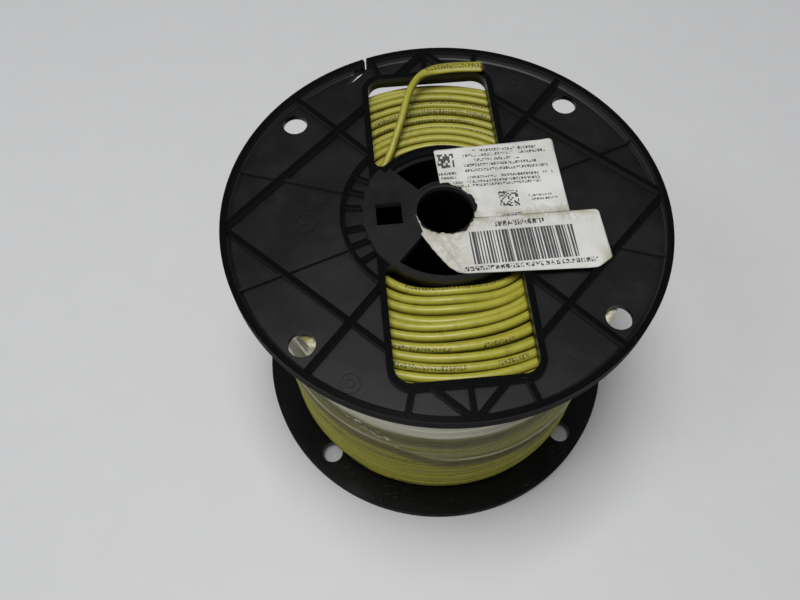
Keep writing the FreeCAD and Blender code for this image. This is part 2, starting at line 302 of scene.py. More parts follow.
def spool_plastic_finish():
    finish = Finish("spool plastic")
    x, y, height = finish.axes()
    half_height = (upper_high.z - lower_low.z) / 2
    inner_face = half_height - rim_height
    web_face = half_height - web_depth
    cloud = finish.noise(45, 4)
    grain = finish.noise(1900, 2)
    hair = finish.noise(260, 5, stretch=(1, 9, 1))
    second_hair = finish.noise(230, 5, stretch=(8, 1, 1))
    scratch = (hair.ramp(0.66, 0.72) + second_hair.ramp(0.67, 0.73)).least(1)
    flow = finish.noise(17, 5, stretch=(1, 1.8, 1))

    from_middle = abs(height - half_height)
    from_axis = (x * x + y * y).root()
    proud = from_middle.ramp(half_height - 1.0 * MM, half_height - 0.7 * MM)
    inner = from_middle.ramp(inner_face + 0.6 * MM, inner_face + 0.1 * MM)
    outer_wall = from_axis.ramp(flange_radius - 0.3 * MM, flange_radius - 0.1 * MM)
    towards_back = (y - 0.9 * abs(x)).ramp(0, 1 * MM)
    back_ring = from_axis.ramp(hub_ring_radius, hub_ring_radius + 0.4 * MM) * towards_back
    hub = from_axis.ramp(hub_radius, hub_radius - 1.0 * MM) * (1 - back_ring)
    # Painted shade: the tops away from the hub and the inner faces go deep black through smooth, which also
    # lowers their roughness.
    rubbed_and_shaded = proud * (1 - hub)
    smooth = rubbed_and_shaded.most(inner)
    steep = abs(finish.upright()).ramp(0.8, 0.4)
    above_web = from_middle.ramp(web_face + 0.1 * MM, web_face + 0.5 * MM)
    # Painted light: the steep faces above the web, such as the rib sides, are made lighter, as sloping sides
    # would catch light.
    rib_side = steep * above_web * (1 - outer_wall)

    def edge_of(face):
        """The rounded edge just below a face that stands this far from the middle."""
        return (from_middle.ramp(face - 0.44 * MM, face - 0.3 * MM)
                * from_middle.ramp(face - 0.01 * MM, face - 0.07 * MM))

    # Pale lines along the top edges: partly wear, partly a painted highlight.
    worn_edge_and_highlight = edge_of(half_height).most(edge_of(half_height - rib_drop)) * cloud.ramp(0.32, 0.6)
    dust = finish.noise(120, 6).ramp(0.5, 0.75) * (0.30 - 0.25 * smooth)
    colour = finish.tint(cloud.ramp(0.3, 0.7) * 0.6 + flow.ramp(0.35, 0.65) * 0.4,
                         deep_black, (0.0098, 0.0099, 0.0102))
    # Over the base: painted shade on smooth, pale scratches, dust, painted light on the steep sides, and the
    # worn edges with their painted highlight.
    for share, over in ((smooth, deep_black), (scratch * 0.05, (0.12, 0.125, 0.13)),
                        (dust * 0.14, (0.08, 0.077, 0.068)), (rib_side * 0.85, (0.046, 0.046, 0.047)),
                        (worn_edge_and_highlight * 0.8, (0.040, 0.040, 0.042))):
        colour = finish.tint(share, colour, over)
    roughness = 0.29 - 0.15 * smooth + (0.12 - 0.07 * smooth) * cloud + 0.10 * dust + 0.04 * grain
    relief = grain * 0.6 + cloud * 1.5 - scratch * 0.5
    return finish.surface(dull=(outer_wall * 0.8).most(rubbed_and_shaded * 0.7), Base_Color=colour,
                          Roughness=roughness, Specular_IOR_Level=0.2,
                          Normal=finish.bump(relief, 0.35, 0.00012))


spool_plastic = spool_plastic_finish()
print("made", spool_plastic.name)

# %% [markdown]
# ## Moulded edges
# The measured flanges and tubes are right in shape but have knife edges and a mesh of thin triangles.
# A Weld joins the triangles, a planar Decimate turns them back into flat faces, and a small Bevel
# rounds what is sharp, as a mould would. Modifiers do it, so the measured mesh isn't touched.

# %% Flanges and tubes
edge_round = 0.32 * MM


def soften_edges(obj):
    mesh = obj.data
    for extra in ("custom_normal", "sharp_edge", "sharp_face"):
        if extra in mesh.attributes:
            mesh.attributes.remove(mesh.attributes[extra])
    mesh.polygons.foreach_set("use_smooth", [True] * len(mesh.polygons))
    weld = obj.modifiers.new("weld", "WELD")
    weld.merge_threshold = 1e-6
    flat = obj.modifiers.new("flat faces", "DECIMATE")
    flat.decimate_type = "DISSOLVE"
    flat.angle_limit = math.radians(0.5)
    bevel = obj.modifiers.new("moulded edges", "BEVEL")
    bevel.width = edge_round
    bevel.segments = 2
    bevel.limit_method = "ANGLE"
    bevel.angle_limit = math.radians(30)
    bevel.harden_normals = True


for node_name in ("upper_flange", "lower_flange", "drum_tube", "arbor_tube"):
    node = nodes[node_name]
    node.data.materials.clear()
    node.data.materials.append(spool_plastic)
    soften_edges(node)
    print("softened", node_name, len(node.data.polygons), "faces")

# %% [markdown]
# ## The rounds at the rims' feet
# A mould leaves a hollow round where the rim's wall meets the web, and it catches a thin line of
# light. It is a swept closed strip, because a modifier can't fill an inner corner. The upper one
# stops short of the crack on both sides.

# %% Rim feet
def spool_piece(name, mesh, material):
    """An object of the spool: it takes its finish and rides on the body."""
    made = add_object(name, mesh)
    made.data.materials.append(material)
    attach(made, BODY)
    print(name, len(mesh.vertices), "points")
    return made


def revolved(section, theta):
    """Points of a section of radius and height, in millimetres, turned to each of these angles."""
    return np.stack([np.outer(np.cos(theta), section[:, 0]), np.outer(np.sin(theta), section[:, 0]),
                     np.broadcast_to(section[:, 1], (len(theta), len(section)))], -1).reshape(-1, 3) * MM


def grid_faces(rows, columns, closed=False):
    """Quads over rows of points. Each row closes on itself, and the last row may join the first."""
    i, j = np.meshgrid(np.arange(rows if closed else rows - 1), np.arange(columns), indexing="ij")
    ahead, after = (i + 1) % rows * columns, (j + 1) % columns
    corners = (i * columns + j, ahead + j, ahead + after, i * columns + after)
    return np.stack(corners, -1).reshape(-1, 4).tolist()


rim_wall = 2.2
foot_size = 1.4
foot_sunk = 0.06
foot_steps = 300


def rim_foot(name, web, way, start, end):
    """A hollow round between the rim's wall and the web. Way is 1 where the rim stands up."""
    wall = flange_radius / MM - rim_wall
    arc = np.radians(np.linspace(0, 90, 7))
    hollow = zip(wall - foot_size + foot_size * np.cos(arc),
                 web + way * (foot_size - foot_size * np.sin(arc)))
    section = np.array([(wall + foot_sunk, web - way * foot_sunk), (wall + foot_sunk, web + way * foot_size),
                        *hollow, (wall - foot_size, web - way * foot_sunk)])
    points = revolved(section, np.radians(np.linspace(start, end, foot_steps)))
    count = len(section)
    ends = [list(range(count))[::-1], list(range(len(points) - count, len(points)))]
    mesh = mesh_of(name, points, grid_faces(foot_steps, count) + ends)
    spool_piece(name, mesh, spool_plastic)


rim_foot("upper_rim_foot", (upper_high.z - web_depth) / MM, 1, 111.4, 465.6)
rim_foot("lower_rim_foot", (lower_low.z + web_depth) / MM, -1, 0.0, 359.9)

# %% [markdown]
# ## Yellow jacket
# The wire has a soft yellow core jacket under a thin clear skin, so it is glossy but cloudy. Makers
# print a line of small dark letters along it, and the wire twists as it is wound, so the line comes
# and goes. Each tube carries an attribute: the run along the wire, and how far round the print is.
# The letters here are random strokes that spell nothing. The wire has blotchy stains and is darker
# towards the back, and painted shade darkens the sides of the turns that show in the windows, most
# at the back. Only the turns above the film are glossy.

# %% Wire jacket
stroke_width = 0.34 * MM
letter_pitch = 1.25 * MM
word_length = 11 * MM


def wire_jacket_finish():
    finish = Finish("wire jacket")
    wound = finish.node("ShaderNodeAttribute", {"attribute_name": "wound"}, output="Vector")
    along, facing, across = finish.axes(wound)
    cloud = finish.noise(90, 4)
    fine = finish.noise(900, 3)
    base = finish.tint(cloud, (0.305, 0.282, 0.021), (0.385, 0.36, 0.042))
    blotch = finish.noise(260, 5)
    y, height = finish.axes()[1:]
    back = y.ramp(0, 55 * MM)
    # Painted shade between the turns: the upper turns are darkened where they face sideways or down.
    gap = finish.upright().ramp(0.8, 0.1) * height.ramp(110 * MM, 115 * MM)
    stain = (fine.ramp(0.5, 0.8) * 0.3).most(blotch.ramp(0.5, 0.75) * 0.4)
    # Stains are grime on the wire. The back term only makes the turns darker towards the back, and the gap
    # term is painted shade.
    stains_and_shade = (stain + back * 0.15 + gap * (0.5 + 0.35 * back)).least(0.92)
    stained_and_shaded = finish.tint(stains_and_shade, base, (0.125, 0.108, 0.014))
    stroke = finish.speckle(along * (1 / stroke_width), across * 4.2) > 0.42
    letter = (along * (1 / letter_pitch)).fraction() > 0.22
    word = finish.speckle(along * (1 / word_length), along * 0) > 0.12
    band = (abs(across) < 0.52) * (facing > 0)
    print_mask = stroke * letter * word * band
    printed = finish.tint(print_mask * (0.7 + 0.3 * cloud), stained_and_shaded, (0.035, 0.030, 0.015))
    return finish.surface(Base_Color=printed, Roughness=0.34 + 0.16 * cloud + 0.1 * fine,
                          Coat_Weight=(0.24 - 0.16 * back) * height.ramp(105 * MM, 112 * MM),
                          Coat_Roughness=0.22, Specular_IOR_Level=0.4,
                          Normal=finish.bump(fine * 0.5 + blotch + cloud * 2, 0.3, 0.00018))


wire_jacket = wire_jacket_finish()
print("made", wire_jacket.name)

# %% [markdown]
# ## A tube that follows a line
# All wound wire is made by one helper. It sets a ring of points square to the line at each step and
# joins the rings. A bevelled curve would do the same, but here the section may flatten along the way,
# and each point keeps its place along and round the wire for the print.

# %% Tube helper
wire_radius = 1.65 * MM
UP = np.array((0.0, 0.0, 1.0))


def unit(vectors):
    return vectors / np.linalg.norm(vectors, axis=-1, keepdims=True)


def eased(values, low, high):
    """Goes smoothly from 0 at low to 1 at high, as ramp does in a material."""
    share = np.clip((values - low) / (high - low), 0, 1)
    return share * share * (3 - 2 * share)


def tube(name, centres, material, print_angle=90.0, half_width=wire_radius,
         half_height=wire_radius, sides=12):
    """A closed tube round a line. Angles go from 0 on the outer side of the turn to 90 on top."""
    centres = np.asarray(centres, float)
    count = len(centres)
    along = unit(np.gradient(centres, axis=0))
    across = unit(np.cross(along, UP))
    rise = np.cross(across, along)
    run = np.concatenate(([0], np.cumsum(np.linalg.norm(np.diff(centres, axis=0), axis=1))))
    angle = np.linspace(0, 2 * math.pi, sides, endpoint=False)
    wide = np.broadcast_to(half_width, count)[:, None, None]
    high = np.broadcast_to(half_height, count)[:, None, None]
    points = (centres[:, None] + across[:, None] * np.cos(angle)[None, :, None] * wide
              + rise[:, None] * np.sin(angle)[None, :, None] * high).reshape(-1, 3)
    faces = grid_faces(count, sides)
    faces.append(list(range(sides)))
    faces.append(list(range(count * sides - 1, (count - 1) * sides - 1, -1)))
    mesh = mesh_of(name, points, faces)
    offset = angle[None, :] - np.radians(np.broadcast_to(print_angle, count))[:, None]
    wound = np.stack([np.broadcast_to(run[:, None], offset.shape), np.cos(offset), np.sin(offset)], -1)
    mesh.attributes.new("wound", "FLOAT_VECTOR", "POINT").data.foreach_set(
        "vector", wound.astype(np.float32).ravel())
    print(name, round(float(run[-1]), 3), "m of wire")
    return spool_piece(name, mesh, material)


def wander(turns, seed, size):
    """A smooth unevenness along the turns, the same on each run."""
    random = np.random.default_rng(seed)
    total = np.zeros_like(turns)
    for frequency in (0.31, 0.73, 1.37, 2.1):
        total += np.sin(2 * math.pi * (frequency * turns + random.random()))
    return total * size / 4


# %% [markdown]
# ## The turns that show in the windows
# Against the upper flange lies the end of the winding: a flat spiral of ten and a half turns, which
# shows through both windows. A plain spiral would look like a record's groove, so the turns follow
# what the photograph shows: an oval course, one wider gap, some turns lower than others, and a
# bulge where the window lets the wire rise. A second spiral below fills the gaps.

# %% Upper end turns
start_angle = 147.0
spiral_height = 118.65
lap_radii = ((0.0, 32.25), (0.342, 32.0), (0.842, 35.6), (1.342, 35.6), (1.842, 39.2), (2.342, 39.1),
             (2.842, 42.8), (3.342, 42.2), (3.842, 46.3), (4.342, 45.0), (4.842, 49.9), (5.342, 48.8),
             (5.842, 53.7), (6.342, 53.3), (6.842, 57.9), (7.342, 57.4), (7.842, 61.9), (8.342, 61.0),
             (8.842, 65.6), (9.342, 64.5), (9.842, 68.2), (10.342, 67.9), (10.5, 68.2))
lap_turns, lap_sizes = np.array(lap_radii).T


def lap_radius(turns):
    """The radius of the spiral. It is oval, and the first turns run straight past the near window."""
    theta = np.radians(start_angle + 360 * turns)
    oval = 1.4 * np.clip((turns - 1.1) / 3.6, 0, 1) * np.clip((7.5 - turns) / 2, 0, 1)
    oval = oval * np.where(np.sin(theta) < 0, 1, 0.3)
    straight = np.interp(turns, [0, 0.2, 1.34, 3.34, 7, 10.4], [0, 1.5, 1.9, 1.2, 1.3, 0.6])
    straight = straight * np.sin(2 * theta) ** 2
    return np.interp(turns, lap_turns, lap_sizes) + oval * np.sin(2 * theta) + straight


def lap_height(turns):
    """How far a turn stands above its level: it rises where a window leaves room for it."""
    theta = np.radians(start_angle + 360 * turns)
    towards_window = np.sin(theta) ** 8
    room = np.interp(turns, [0, 4, 9], [4.6, 2.6, 1.5]) * np.where(np.sin(theta) < 0, 1.0, 0.45)
    sunk = 1.9 * np.exp(-((turns - 3.342) / 0.2) ** 2)
    sunk += np.interp(turns, [8.5, 8.842, 9.342, 9.7, 10.342, 10.5], [0, 0.7, 0.6, 1.5, 1.2, 1.6])
    return room * towards_window - sunk - 0.35


def spiral(turns, radius, height):
    """Points of a flat spiral, in millimetres, at these turn numbers."""
    theta = np.radians(start_angle + 360 * turns)
    return np.stack([radius * np.cos(theta), radius * np.sin(theta), height], axis=1)


top_turns = np.linspace(0, 10.5, 1140)
settled = np.clip(top_turns / 0.5, 0, 1)
top_points = spiral(top_turns, lap_radius(top_turns) + wander(top_turns, 5, 0.45) * settled,
                    spiral_height + (lap_height(top_turns) + wander(top_turns, 8, 0.8)) * settled)
lead = unit(top_points[0] - top_points[1])
lead_in = np.array([top_points[0] + lead * step for step in (3.3, 2.2, 1.1)])
top_line = np.concatenate([lead_in, top_points]) * MM

print_places = ((0.0, 60), (0.2, 110), (0.34, 122), (0.5, 135), (0.84, 150), (1.2, 270), (3.5, 270),
                (3.75, 150), (3.95, 165), (4.2, 270), (4.6, 270), (4.75, 150), (4.95, 165), (5.2, 270),
                (5.6, 240), (5.75, 130), (5.95, 120), (6.2, 60), (6.34, 42), (6.5, 50), (6.84, 75),
                (7.2, -60), (7.9, -90), (8.15, 60), (8.342, 70), (8.5, 80), (8.7, -60), (10.5, -90))
print_turns, print_angles = np.array(print_places).T
top_print = np.interp(np.concatenate([[0, 0, 0], top_turns]), print_turns, print_angles)
upper_turns = tube("upper_end_turns", top_line, wire_jacket, top_print)
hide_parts("end_turns")

second_drop = 3.0
under_turns_at = np.linspace(0.05, 9.4, 880)
under_radius = (lap_radius(under_turns_at) + lap_radius(under_turns_at + 1)) / 2
under_radius -= np.interp(under_turns_at, [0.05, 1.2], [2.3, 0])
under_height = spiral_height - second_drop + lap_height(under_turns_at) * 0.8
under_height += wander(under_turns_at, 21, 0.3)
under_turns = tube("second_end_turns", spiral(under_turns_at, under_radius, under_height) * MM,
                   wire_jacket, 270.0, sides=10)

# %% [markdown]
# ## The rest of the winding
# The outside of the winding is one helix that climbs from flange to flange, and another flat spiral
# lies on the lower flange. Between them a turned solid with a scalloped outline stands for the many
# layers that nobody can see, with one round bead for each wire of its outer layer.

# %% Side turns, lower end turns and inner layers
helix_radius = 68.85
helix_pitch = 3.45
helix_low = 8.35
helix_top = 112.4
helix_count = (helix_top - helix_low) / helix_pitch
helix_from = np.linspace(0, helix_count, int(helix_count * 96))
helix_theta = np.radians(200 + 360 * helix_from)
tuck_turns = 0.12
tuck_depth = 4.2
tucked_end = (np.clip(1 - helix_from / tuck_turns, 0, 1) ** 2
              + np.clip(1 - (helix_count - helix_from) / tuck_turns, 0, 1) ** 2)
helix_r = helix_radius + wander(helix_from, 31, 0.35) - tuck_depth * tucked_end
helix_z = helix_low + helix_pitch * helix_from + wander(helix_from, 33, 0.12)
helix_line = np.stack([helix_r * np.cos(helix_theta), helix_r * np.sin(helix_theta), helix_z], 1) * MM
helix_print = 270 + 220 * wander(helix_from, 35, 1.0)
side_turns = tube("side_turns", helix_line, wire_jacket, helix_print, sides=10)

lower_from = np.linspace(0, 8.6, 760)
lower_theta = np.radians(20 - 360 * lower_from)
lower_radius = 32.6 + 3.75 * lower_from + wander(lower_from, 41, 0.2)
lower_z = helix_low + 0.12 + wander(lower_from, 43, 0.1)
lower_line = np.stack([lower_radius * np.cos(lower_theta), lower_radius * np.sin(lower_theta), lower_z], 1)
lower_turns = tube("lower_end_turns", lower_line * MM, wire_jacket,
                   270 + 200 * wander(lower_from, 45, 1.0), sides=10)


bead_height = 1.2


def beads(start, end, count, out):
    """A row of half-round beads between two corners of a section, bulging towards out."""
    found = []
    for k in range(count):
        for part in (0.0, 0.25, 0.5, 0.75):
            share = (k + part) / count
            bulge = math.sin(math.pi * part) * bead_height
            found.append((start[0] + (end[0] - start[0]) * share + out[0] * bulge,
                          start[1] + (end[1] - start[1]) * share + out[1] * bulge))
    return found


def turned(name, section, segments, material):
    """A solid of revolution from a closed section of radius and height, in millimetres."""
    points = revolved(np.array(section), np.linspace(0, 2 * math.pi, segments, endpoint=False))
    mesh = mesh_of(name, points, grid_faces(segments, len(section), closed=True))
    return spool_piece(name, mesh, material)


core_in, core_out, core_floor, core_roof = 30.7, 65.9, 11.4, 113.0
core_section = (beads((core_in, core_floor), (core_out, core_floor), 10, (0, -1))
                + beads((core_out, core_floor), (core_out, core_roof), 29, (1, 0))
                + beads((core_out, core_roof), (core_in, core_roof), 10, (0, 1))
                + [(core_in, core_roof)])
inner_layers = turned("inner_layers", core_section, 72, wire_jacket)
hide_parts("winding_core")
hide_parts("winding_core")
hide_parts("winding_core")
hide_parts("winding_core")

# %% [markdown]
# ## The free end of the wire
# The wire's inner end comes up through the upper window, lies over the flange and ends cut off. It is
# a free cord: its line is a smooth spline through the route's points, and the tube follows that line.
# The last stretch is pinched flat, as by pliers, so the section gets wider and lower there.

# %% Wire tail
tail_route = (
    (-25.25, 20.33, 118.65),
    (-22.52, 24.53, 118.65),
    (-18.0, 30.3, 121.9),
    (-14.4, 38.8, 125.2),
    (-11.9, 44.4, 127.3),
    (-10.2, 49.6, 128.9),
    (-8.5, 54.7, 129.5),
    (-6.0, 60.3, 129.2),
    (-2.7, 65.2, 128.7),
    (2.5, 68.0, 128.4),
    (9.3, 68.7, 128.4),
    (16.2, 68.5, 128.5),
    (23.0, 67.7, 128.6),
)


def spline_points(route, steps):
    """Points of the smooth spline that a route controls, in metres."""
    curve = bpy.data.curves.new("route", "CURVE")
    curve.dimensions = "3D"
    curve.resolution_u = steps
    line = curve.splines.new("NURBS")
    line.points.add(len(route) - 1)
    for point, place in zip(line.points, route):
        point.co = (*(value * MM for value in place), 1)
    line.order_u = 3
    line.use_endpoint_u = True
    holder = bpy.data.objects.new("route", curve)
    sampled = bpy.data.meshes.new_from_object(holder)
    found = np.array([vertex.co for vertex in sampled.vertices])
    bpy.data.objects.remove(holder)
    return found


tail_line = spline_points(tail_route, 14)
tail_run = np.concatenate(([0], np.cumsum(np.linalg.norm(np.diff(tail_line, axis=0), axis=1))))
tail_length = float(tail_run[-1])
pinch_start = tail_length - 0.029
pinch = eased(tail_run, pinch_start, pinch_start + 0.012)
tail_wide = wire_radius * (0.90 + 0.72 * pinch)
tail_high = wire_radius * (1 - 0.34 * pinch)
tail_print = np.interp(tail_run / tail_length, [0, 0.45, 0.62, 0.7, 1.0], [200, 190, 150, 105, 84])
wire_tail = tube("wire_tail_piece", tail_line, wire_jacket, tail_print,
                 tail_wide, tail_high, 16)
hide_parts("wire_tail")
print("tail", round(tail_length, 4), "m")

# %% [markdown]
# ## Copper strands
# The conductor is nineteen thin strands: one in the middle and two rings round it. At the cut they
# stand out by about a millimetre, tarnished and bent by the cutter. Each is its own short closed tube,
# all in one mesh, squeezed to an oval with the jacket.

# %% Copper strands
def copper_finish():
    finish = Finish("cut copper")
    cloud = finish.noise(1500, 4)
    colour = finish.tint(cloud.ramp(0.35, 0.7), (0.035, 0.018, 0.011), (0.17, 0.085, 0.045))
    return finish.surface(Base_Color=colour, Metallic=0.9, Roughness=0.38 + 0.25 * cloud,
                          Normal=finish.bump(cloud, 0.4, 0.00005))


cut_copper = copper_finish()
strand_radius = 0.235
strand_sides = 10
oval_wide, oval_high = 1.45, 0.72
strand_places = [(0.0, 0.0)]
for ring_count, ring_reach, ring_turn in ((6, 0.49, 0.0), (12, 0.97, 0.26)):
    for k in range(ring_count):
        a = 2 * math.pi * k / ring_count + ring_turn
        strand_places.append((ring_reach * math.cos(a), ring_reach * math.sin(a)))

tail_way = unit(tail_line[-1] - tail_line[-2])
tail_side = unit(np.cross(tail_way, UP))
tail_rise = np.cross(tail_side, tail_way)
strand_random = np.random.default_rng(19)
strand_mesh = bmesh.new()
for u, v in strand_places:
    root = tail_line[-1] / MM + tail_side * u * oval_wide + tail_rise * v * oval_high
    lean = tail_side * strand_random.normal(0, 0.12) + tail_rise * strand_random.normal(0, 0.05)
    long = 1.0 + strand_random.uniform(-0.25, 0.2)
    rings = []
    for step, grow in ((-0.8, 1.0), (0.3, 1.0), (long, 1.0), (long + 0.08, 0.7)):
        middle = root + tail_way * step + lean * max(step, 0) ** 1.5
        ring = []
        for k in range(strand_sides):
            a = 2 * math.pi * k / strand_sides
            ring.append(strand_mesh.verts.new(
                (middle + (tail_side * math.cos(a) + tail_rise * math.sin(a)) * strand_radius * grow) * MM))
        rings.append(ring)
    for first, second in zip(rings, rings[1:]):
        for k in range(strand_sides):
            strand_mesh.faces.new((first[k], first[k - 1], second[k - 1], second[k]))
    strand_mesh.faces.new(rings[0])
    strand_mesh.faces.new(rings[-1][::-1])
bmesh.ops.recalc_face_normals(strand_mesh, faces=strand_mesh.faces)
strands = bpy.data.meshes.new("cut_strands")
strand_mesh.to_mesh(strands)
strand_mesh.free()
cut_strands = spool_piece("cut_strands", strands, cut_copper)
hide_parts("copper_strands")
print("strands", len(strand_places))

# %% [markdown]
# ## Clear film
# A few turns of clear stretch film hold the outer wire. It is drawn tight, so it is a thin skin just
# outside the turns, with ridges where it bunches and a lip that folds in over the top. Where many
# layers overlap it turns white, and where there is one layer the yellow shows through. The see-through
# part is Alpha. A white band, a ridge that climbs at the left, painted shade in the hollows beside
# them and under the flange, a crinkled patch with painted glints and the frayed lip are placed by
# height and by angle, and noise stretched round the spool breaks them up.

# %% Film finish
film_radius = 70.72
ridge_height, ridge_climb, ridge_sink = 50.0, 11.0, 5.0
ridge_left = (-1.60, -2.00)
ridge_right = (-1.68, -0.87)
crinkle_height, crinkle_fall, crinkle_angle = 70.0, 44.0, 2.11


def clear_film_finish():
    finish = Finish("clear film")
    x, y, z = finish.axes()
    height = z * (1 / MM)
    angle = y.maths("ARCTAN2", y, x)
    front = (y * -14).ramp(0, 0.45)
    left_rise = angle.ramp(*ridge_left) * front
    right_fall = angle.ramp(*ridge_right) * front
    streaks = finish.noise(9, 6, stretch=(1, 1, 42))
    fine = finish.noise(30, 5, stretch=(1, 1, 60))
    cloud = finish.noise(34, 4)
    level = height + (finish.noise(12, 2) - 0.5) * 7
    band = level.ramp(71, 79) * level.ramp(95, 86) * (1 - 0.45 * right_fall)
    from_ridge = height - (ridge_height + ridge_climb * left_rise - ridge_sink * right_fall)
    ridge = abs(from_ridge).ramp(3.2, 0.4) * (0.6 + 0.4 * cloud.ramp(0.35, 0.6))
    pale = from_ridge.ramp(-1, 2) * level.ramp(67, 62) * (0.35 + 0.65 * streaks.ramp(0.4, 0.6))
    # Painted shade: hollow puts dark olive film in the hollows by the white band and below the ridge, and
    # under the flange at the front.
    shade = level.ramp(89, 95) * level.ramp(110, 100)
    hollow = (level.ramp(62, 67) * level.ramp(76, 71)).most(shade * front)
    hollow = hollow.most(from_ridge.ramp(-1, -4) * from_ridge.ramp(-14, -8))
    slope = height - (crinkle_height - crinkle_fall * (angle + crinkle_angle))
    crinkled = abs(slope).ramp(6, 2) * angle.ramp(-2.50, -2.38) * angle.ramp(-1.80, -1.95)
    lip = level.ramp(103, 109) * (0.35 + 0.65 * finish.noise(160, 4).ramp(0.4, 0.6))
    # Painted glints: white specks on the crinkled patch.
    glint = finish.noise(300, 3, stretch=(1, 1, 2.2)).ramp(0.55, 0.63) * crinkled
    white = (band * (0.72 + 0.4 * streaks)).most(ridge * 0.62).most(pale * 0.5).most(glint).most(lip * 0.8)
    alpha = 0.05 + 0.79 * band
    for share, mask in ((0.66, ridge), (0.36, pale), (0.58, hollow), (0.9, glint), (0.85, lip)):
        alpha = alpha.most(share * mask)
    alpha = alpha + 0.20 * streaks.ramp(0.5, 0.66) + 0.10 * fine.ramp(0.5, 0.7) - 0.10 * cloud
    # The dark colour is the painted shade of the hollows. The pale one is white film and the painted glints.
    colour = finish.tint(white, (0.085, 0.074, 0.014), (0.96, 0.92, 0.72))
    relief = streaks * 2.0 + fine * 0.8 + cloud + crinkled * finish.noise(380, 3) * 2
    return finish.surface(Base_Color=colour, Roughness=0.16 + 0.2 * cloud, Specular_IOR_Level=0.25,
                          Alpha=alpha.most(0.05).least(0.92),
                          Normal=finish.bump(relief, 0.5, 0.0006))


clear_film = clear_film_finish()
clear_film.surface_render_method = "DITHERED"
print("made", clear_film.name)

# %% Film skin
film_columns = 288
film_rows = 72
lip_starts = 0.93
film_theta = np.linspace(0, 2 * math.pi, film_columns, endpoint=False)
film_random = np.random.default_rng(77)
front = 0.5 - 0.5 * np.sin(film_theta)
corner = np.where(np.sin(film_theta) < 0, np.sin(2 * film_theta) ** 6, 0)
film_top = 112.8 + 4.6 * front + 3.4 * corner
film_foot = 31.0 + 0.8 * np.sin(film_theta * 2 + 0.6) + 0.5 * np.sin(film_theta * 5 + 2.0)
front_angle = np.where(film_theta > math.pi, film_theta - 2 * math.pi, film_theta)

facing = eased(-np.sin(film_theta), 0, 0.45)
ridge_line = (ridge_height + ridge_climb * eased(front_angle, *ridge_left) * facing
              - ridge_sink * eased(front_angle, *ridge_right) * facing)
film_points = []
for row in range(film_rows + 1):
    share = row / film_rows
    body_share = min(share / lip_starts, 1.0)
    z = film_foot + (film_top - film_foot) * body_share
    r = np.full(film_columns, film_radius)
    for centre, width, size in ((ridge_line, 1.5, 0.40), (ridge_line + 15, 1.3, 0.22), (92.0, 1.2, 0.25)):
        drift = 0.6 * np.sin(film_theta * 3 + width * 9)
        r += size * np.exp(-((z - centre - drift) / width) ** 2)
    for harmonic in (7, 11, 19, 31):
        phase = film_random.random() * 6.28
        r += 0.035 * np.sin(film_theta * harmonic + phase + z * 0.12)
    folded = max((share - lip_starts) / (1 - lip_starts), 0)
    r -= folded * (0.25 + 1.6 * front + 4.2 * corner)
    z = z + 0.5 * math.sin(folded * math.pi)
    film_points.append(np.stack([r * np.cos(film_theta), r * np.sin(film_theta), z], axis=1) * MM)
film_points = np.concatenate(film_points)
film_faces = [(a, b, c, d) for a, d, c, b in grid_faces(film_rows + 1, film_columns)]
film = spool_piece("film_skin", mesh_of("film_skin", film_points, film_faces), clear_film)
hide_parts("stretch_film")

# %% [markdown]
# ## Paper labels
# Two stickers lie on the hub: a tall one with rows of small type, and a wide one with a bar pattern.
# The paper is creased and dirty where they meet, and the wide one's left end is torn and crumpled.
# Its crease lines are darkened, partly grime and partly painted shade.
# Each is cut from its outline with a fine mesh inside, so that creases can be pressed into it. The
# print is made in the shader from random strokes, so it reads as print and says nothing.

# %% Label finish
# Each row has its middle's height, its left and right ends and its letters' height, in millimetres.
text_rows = (
    (26.0, 13.5, 38.0, 1.35), (23.9, 9.5, 41.5, 1.35), (21.5, 13.5, 31.0, 1.35), (19.2, 9.5, 37.0, 1.35),
    (16.8, 9.5, 41.0, 1.35),
    (13.4, 10.0, 42.5, 1.2), (11.4, 4.0, 39.0, 1.2), (9.6, 5.0, 38.0, 1.2), (16.0, -0.6, 6.5, 1.2),
    (13.9, 0.2, 5.8, 1.1), (3.0, 31.0, 40.0, 1.0), (1.3, 32.5, 42.0, 1.0), (-4.6, 20.5, 27.5, 1.0),
)


